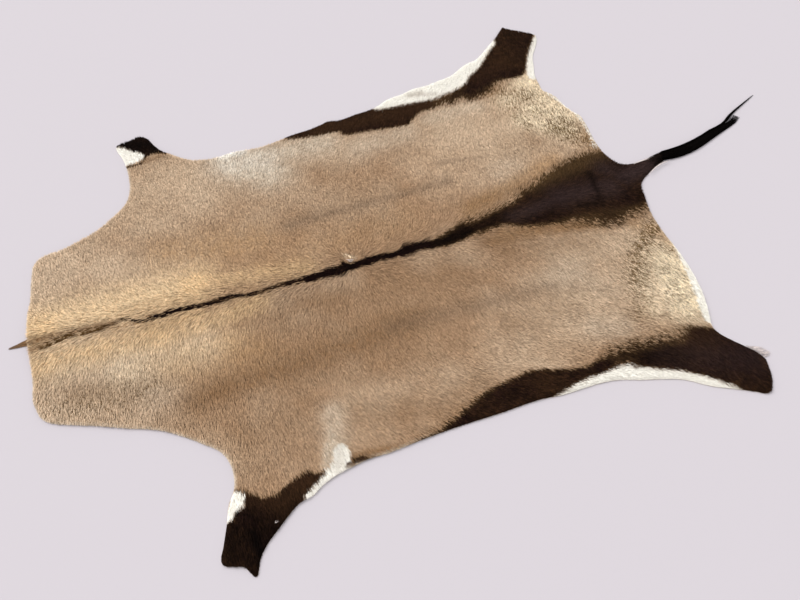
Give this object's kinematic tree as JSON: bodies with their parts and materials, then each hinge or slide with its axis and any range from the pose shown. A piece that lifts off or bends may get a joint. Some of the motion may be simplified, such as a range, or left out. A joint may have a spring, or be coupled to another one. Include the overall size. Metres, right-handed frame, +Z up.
{
  "type": "gemsbok hide",
  "caption": "Gemsbok hide with the hair on, lying flat: a tan pelt with neck, trimmed legs, dark stripes and a tail ending in a long black brush.",
  "frame": {"origin": "on the surface that the hide lies on, under the middle of the box around the whole hide, tail and wisps included", "axes": "+X along the spine from the neck to the tail, +Y towards the animal's right side, +Z up out of the coat"},
  "size_m": [2.2748, 1.521, 0.0118],
  "materials": {
    "coat": "tanned skin with a short lying coat of hair, matt",
    "tail_hair": "long coarse black hair, satin",
    "mane_hair": "long grey-brown hair, satin",
    "tuft_hair": "whitish hair, matt"
  },
  "bodies": {
    "root": {"hide": "coat", "tail_brush": "tail_hair", "mane_wisp": "mane_hair", "hock_tuft": "tuft_hair"}
  },
  "joints": []
}
